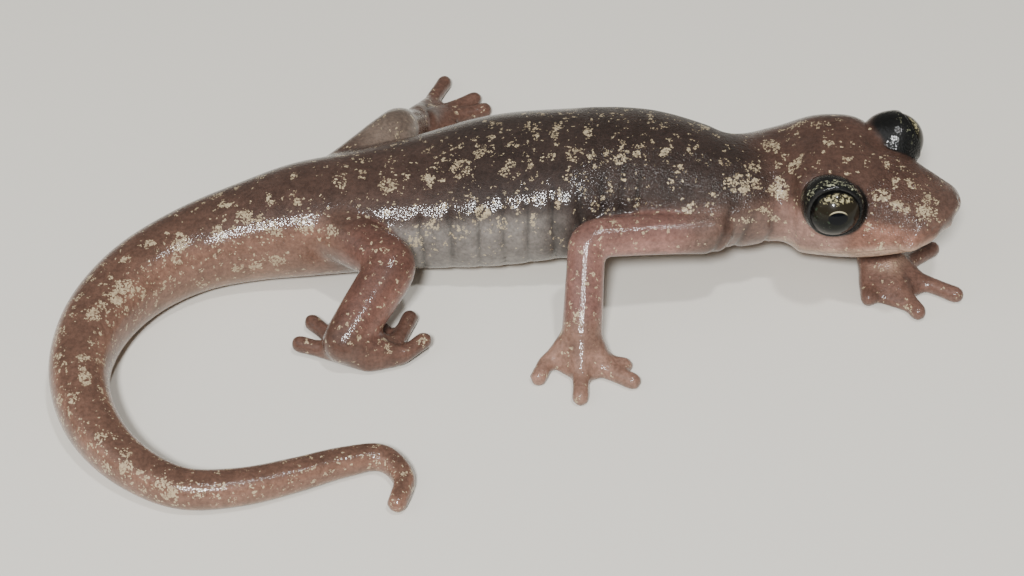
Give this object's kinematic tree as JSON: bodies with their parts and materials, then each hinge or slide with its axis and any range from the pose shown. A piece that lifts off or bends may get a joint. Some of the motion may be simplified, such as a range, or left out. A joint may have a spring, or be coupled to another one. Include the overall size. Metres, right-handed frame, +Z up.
{
  "type": "cave salamander",
  "caption": "Still, life-size cave salamander standing on webbed feet, its head turned aside and its tail curled round on the floor.",
  "frame": {"origin": "centre of the footprint on the floor, at the height of the soles", "axes": "+X the way the animal faces, +Y towards its left side, +Z up; the floor is z = 0"},
  "size_m": [0.0572, 0.0418, 0.0102],
  "materials": {
    "back_skin": "wet dark brown skin with cream flecks",
    "tail_skin": "wet reddish brown skin with cream flecks",
    "limb_skin": "wet reddish brown skin",
    "paw_skin": "wet pinkish brown skin",
    "eye": "clear wet eye with a dark pupil and gold flecks"
  },
  "bodies": {
    "root": {"head": "back_skin", "eye_left": "eye", "eye_right": "eye", "neck": "back_skin", "torso_front": "back_skin", "torso_rear": "back_skin", "tail_root": "tail_skin", "tail_bend": "tail_skin", "tail_turn": "tail_skin", "tail_return": "tail_skin", "tail_tip": "tail_skin", "upper_arm_right": "limb_skin", "forearm_right": "limb_skin", "hand_right": "paw_skin", "upper_arm_left": "limb_skin", "forearm_left": "limb_skin", "hand_left": "paw_skin", "thigh_right": "limb_skin", "shank_right": "limb_skin", "foot_right": "paw_skin", "thigh_left": "limb_skin", "shank_left": "limb_skin", "foot_left": "paw_skin"}
  },
  "joints": []
}
